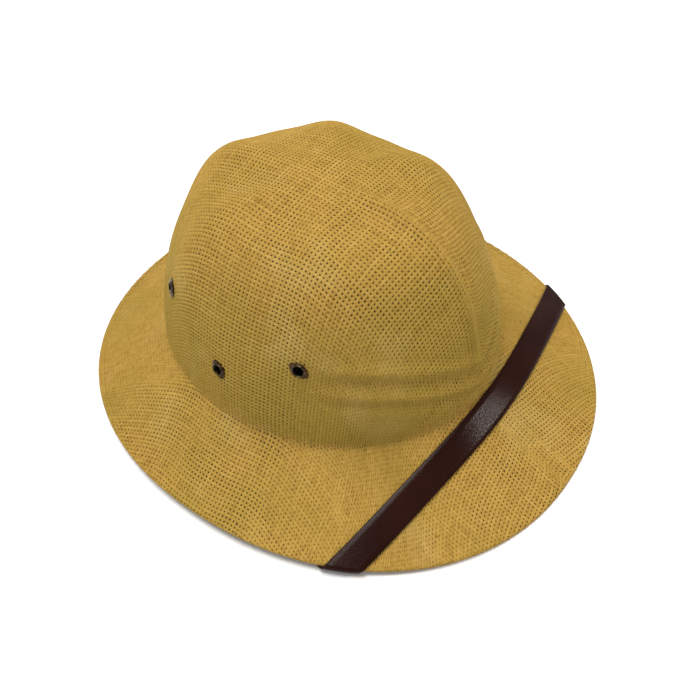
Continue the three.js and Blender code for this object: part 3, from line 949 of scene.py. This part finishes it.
def box_stitches(route):
    """The stitches that hold the strap's end under the brim: a box with a cross in it."""
    end_step = len(route) - 1

    def middle(step):
        return np.mean([under(*map(as_array, edge), 0) for edge in route[step][1:]], 0)

    reach = np.linalg.norm(middle(end_step) - middle(end_step - STRAP_UNDER_STEPS))
    step_length = reach / STRAP_UNDER_STEPS

    def spot(back, side):
        """A place on the strap's lower face, back from its end and to one side of its middle."""
        at = end_step - back / step_length
        low = int(at)
        mix = at - low
        points = []
        for index in (low, min(low + 1, end_step)):
            _, inner, outer = route[index]
            mid = (side / (STRAP_WIDTH / 2) + 1) / 2
            keys = [as_array(a + (b - a) * mid) for a, b in zip(inner, outer)]
            points.append(under(*keys, STRAP_THICKNESS + STRAP_SWELL))
        return points[0] * (1 - mix) + points[1] * mix

    near, far = STITCH_INSET, STITCH_INSET + STITCH_BOX[1]
    half = STITCH_BOX[0] / 2
    corners = [(near, -half), (near, half), (far, half), (far, -half)]
    lines = [(corners[k], corners[(k + 1) % 4]) for k in range(4)]
    lines += [(corners[0], corners[2]), (corners[1], corners[3])]
    tubes = []
    for (back_a, side_a), (back_b, side_b) in lines:
        length = math.hypot(back_b - back_a, side_b - side_a)
        count = round(length / STITCH_PITCH)
        for k in range(count):
            ends = []
            for share in ((k + STITCH_GAP) / count, (k + 1 - STITCH_GAP) / count):
                back = back_a + (back_b - back_a) * share
                ends.append(spot(back, side_a + (side_b - side_a) * share))
            tubes.append(ends)
    out = unit(np.cross(spot(near, half) - spot(near, -half), spot(far, 0) - spot(near, 0)))
    if out[2] > 0:
        out = -out
    return [stitch_tube(a, b, out) for a, b in tubes]


def join(parts):
    """Several meshes of points and faces as one."""
    points, faces, count = [], [], 0
    for part_points, part_faces in parts:
        points.append(part_points)
        faces.append(part_faces + count)
        count += len(part_points)
    return np.concatenate(points), np.concatenate(faces)


def mirrored(parts):
    return parts + [(points * (-1, 1, 1), faces[:, ::-1]) for points, faces in parts]


def chin_strap():
    route = strap_route()
    half = [np.stack(strap_section(*step)) for step in route]
    rings = np.stack([points * (-1, 1, 1) for points in half[:0:-1]] + half)
    sections, around = rings.shape[:2]
    index = np.arange(sections * around).reshape(sections, around)
    turned = np.roll(index, -1, axis=1)
    quads = np.stack([index[:-1], index[1:], turned[1:], turned[:-1]], -1).reshape(-1, 4)
    caps = []
    for row in (index[0], index[-1][::-1]):
        for k in range(around // 2 - 1):
            caps.append((row[k], row[k + 1], row[around - 2 - k], row[around - 1 - k]))
    faces = np.concatenate([quads, np.array(caps)])
    points = rings.reshape(-1, 3)
    strap = make_object("leather_strap", points, faces, strap_material())
    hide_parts("chin_strap")
    shader = Shader("strap_thread")
    place = shader.node("ShaderNodeTexCoord").outputs["Object"]
    tone = shader.noise(place, THREAD_SCALE)
    tone = shader.ramp(tone, [(0.3, THREAD_DARK), (0.7, THREAD_LIGHT)])
    shader.set(Base_Color=tone, Roughness=THREAD_ROUGHNESS)
    points, faces = join(mirrored(box_stitches(route)))
    make_object("strap_stitches", points, faces, shader.material)


chin_strap()


# The eyelets: a rolled lip on a flange whose edge was torn to blunt points when it was set.
# Each row of the section is a radius and a height above the cloth, up the bore, over the lip and
# the flange, down the barrel and round the clenched end inside.
EYELET_STEPS = 72
EYELET_POINTS = 2
EYELET_POINT_REACH = 1.3
EYELET_POINT_DROP = 0.12
EYELET_POINT_SHARPNESS = 9
EYELET_FLANGE_START = 4.0
EYELET_FLANGE_RUN = 0.5
EYELET_SECTION = (
    (EYELET_BORE_RADIUS, -2.9),
    (EYELET_BORE_RADIUS, -1.0),
    (EYELET_BORE_RADIUS, 0.75),
    (3.06, 1.0),
    (3.22, 1.2),
    (3.45, 1.3),
    (3.7, 1.24),
    (3.88, 1.05),
    (4.0, 0.82),
    (4.15, 0.68),
    (4.4, 0.6),
    (4.65, 0.5),
    (4.65, 0.3),
    (EYELET_BARREL_RADIUS, 0.3),
    (EYELET_BARREL_RADIUS, -2.6),
    (4.9, -2.6),
    (5.0, -2.8),
    (4.85, -3.05),
    (3.3, -3.15),
)
EYELET_POINT_TURN = {"front": 58, "middle": 33, "back": 20}

# Tarnish: blotches take each colour from the first stop to the last.
BRASS_STOPS = (0.4, 0.6, 0.75)
BRASS_LIP = ((0.03, 0.022, 0.012), (0.09, 0.068, 0.032), (0.4, 0.34, 0.2))
BRASS_FLANGE = ((0.025, 0.011, 0.006), (0.065, 0.029, 0.014), (0.18, 0.09, 0.045))
BRASS_BLOTCHES = 700.0
BRASS_METAL = 0.9
BRASS_BUMP = (0.25, 0.0001)


def eyelet_material():
    shader = Shader("antique_brass")
    place = shader.node("ShaderNodeTexCoord").outputs["Object"]
    blotch = shader.noise(place, BRASS_BLOTCHES, 4.0, 0.65)
    lip = shader.ramp(blotch, list(zip(BRASS_STOPS, BRASS_LIP)))
    flange = shader.ramp(blotch, list(zip(BRASS_STOPS, BRASS_FLANGE)))
    radius = shader.node("ShaderNodeUVMap", {"uv_map": "cloth"}).outputs["UV"]
    radius = shader.node("ShaderNodeSeparateXYZ", Vector=radius).outputs["X"]
    tenth = shader.math("MULTIPLY", radius, 0.1)
    outer = shader.ramp(tenth, [(0.385, grey(0)), (0.405, grey(1))])
    shader.set(Base_Color=shader.mix(outer, lip, flange), Metallic=BRASS_METAL)
    rough = shader.math("ADD", shader.math("MULTIPLY", blotch, 0.3), 0.16)
    shader.feed(shader.surface.inputs["Roughness"], rough)
    shader.bump(blotch, *BRASS_BUMP)
    return shader.material


def eyelet(name, middle, outward, material):
    up = unit(np.array([0, 0, 1.0]) - outward * outward[2])
    beside = np.cross(outward, up)
    point_turn = math.radians(EYELET_POINT_TURN[name.split("_")[2]])
    if "left" in name:
        point_turn = -point_turn
    angles = np.arange(EYELET_STEPS) * 2 * np.pi / EYELET_STEPS
    spike = np.abs(np.cos((angles - point_turn) * EYELET_POINTS / 2)) ** EYELET_POINT_SHARPNESS
    rings = []
    for radius, height in EYELET_SECTION:
        flange = 0
        if height > 0:
            flange = np.clip((radius - EYELET_FLANGE_START) / EYELET_FLANGE_RUN, 0, 1)
        reach = radius + spike * EYELET_POINT_REACH * flange
        lift = height - EYELET_POINT_DROP * spike * flange
        rings.append(
            middle
            + (np.cos(angles) * reach)[:, None] * up
            + (np.sin(angles) * reach)[:, None] * beside
            + lift[:, None] * outward
        )
    rings = np.stack(rings)
    index = np.arange(rings.shape[0] * EYELET_STEPS).reshape(rings.shape[:2])
    turned = np.roll(index, -1, axis=1)
    next_turned, next_index = np.roll(turned, -1, axis=0), np.roll(index, -1, axis=0)
    quads = np.stack([index, turned, next_turned, next_index], -1).reshape(-1, 4)
    radii = np.repeat([radius for radius, _ in EYELET_SECTION], EYELET_STEPS)
    uvs = np.stack([radii, np.zeros_like(radii)], -1)
    piece = make_object(f"{name}_brass", rings.reshape(-1, 3), quads, material, uvs)
    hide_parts(name)


brass = eyelet_material()
for eyelet_name, (middle, outward) in EYELET_PLACES.items():
    eyelet(eyelet_name, middle, outward, brass)


# The camera stands where the photograph was taken from.
CAMERA_TARGET = Vector((-2.96, -7.96, 14.75))
CAMERA_DISTANCE = 549.4
CAMERA_AZIMUTH = math.radians(-52.92)
CAMERA_ELEVATION = math.radians(49.61)
CAMERA_ROLL = math.radians(-1.70)
CAMERA_LENS = 43.84
CAMERA_SENSOR = 36
CAMERA_CLIP = (0.05, 20)


def add_camera():
    back = Vector(
        (
            math.sin(CAMERA_AZIMUTH) * math.cos(CAMERA_ELEVATION),
            -math.cos(CAMERA_AZIMUTH) * math.cos(CAMERA_ELEVATION),
            math.sin(CAMERA_ELEVATION),
        )
    )
    level = Vector((math.cos(CAMERA_AZIMUTH), math.sin(CAMERA_AZIMUTH), 0))
    rise = back.cross(level)
    right = math.cos(CAMERA_ROLL) * level + math.sin(CAMERA_ROLL) * rise
    up = -math.sin(CAMERA_ROLL) * level + math.cos(CAMERA_ROLL) * rise
    data = bpy.data.cameras.new("camera")
    data.lens = CAMERA_LENS
    data.sensor_width = CAMERA_SENSOR
    data.clip_start, data.clip_end = CAMERA_CLIP
    camera = bpy.data.objects.new("camera", data)
    bpy.context.scene.collection.objects.link(camera)
    place = Matrix((right, up, back)).transposed().to_4x4()
    place.translation = (CAMERA_TARGET + back * CAMERA_DISTANCE) * MM
    camera.matrix_world = place
    bpy.context.scene.camera = camera


# The stage, in metres: a pale floor just below the brim, a plain world and three disk lights.
FLOOR_HALF = 4
FLOOR_HEIGHT = -0.0002
FLOOR_COLOUR = (0.86, 0.86, 0.86, 1)
FLOOR_ROUGHNESS = 0.9
WORLD_STRENGTH = 0.3
LIGHTS = (
    {
        "name": "top_light",
        "place": (-0.1, 0.6, 2.95),
        "size": 2.1,
        "power": 110,
        "colour": (1.0, 0.985, 0.96),
    },
    {
        "name": "side_light",
        "place": (-1.6, 0.35, 0.75),
        "size": 0.8,
        "power": 8,
        "colour": (1.0, 1.0, 1.0),
    },
    {
        "name": "strap_light",
        "place": (0.61, -0.97, 0.78),
        "size": 0.2,
        "power": 7,
        "colour": (1.0, 0.93, 0.87),
    },
)


def add_light(name, place, size, power, colour):
    data = bpy.data.lights.new(name, "AREA")
    data.shape = "DISK"
    data.size = size
    data.energy = power
    data.color = colour
    light = bpy.data.objects.new(name, data)
    bpy.context.scene.collection.objects.link(light)
    light.location = place
    light.rotation_euler = Vector(place).to_track_quat("Z", "Y").to_euler()


def add_stage():
    shader = Shader("floor")
    shader.set(Base_Color=FLOOR_COLOUR, Roughness=FLOOR_ROUGHNESS)
    mesh = bpy.data.meshes.new("floor")
    corners = [
        (right * FLOOR_HALF, front * FLOOR_HALF, FLOOR_HEIGHT)
        for right, front in ((-1, -1), (1, -1), (1, 1), (-1, 1))
    ]
    mesh.from_pydata(corners, [], [(0, 1, 2, 3)])
    mesh.materials.append(shader.material)
    floor = bpy.data.objects.new("floor", mesh)
    bpy.context.scene.collection.objects.link(floor)
    world = bpy.data.worlds.new("studio")
    world.use_nodes = True
    background = world.node_tree.nodes["Background"]
    background.inputs["Color"].default_value = (1, 1, 1, 1)
    background.inputs["Strength"].default_value = WORLD_STRENGTH
    bpy.context.scene.world = world


add_camera()
add_stage()
for light_row in LIGHTS:
    add_light(**light_row)
bpy.context.scene.view_settings.view_transform = "Standard"
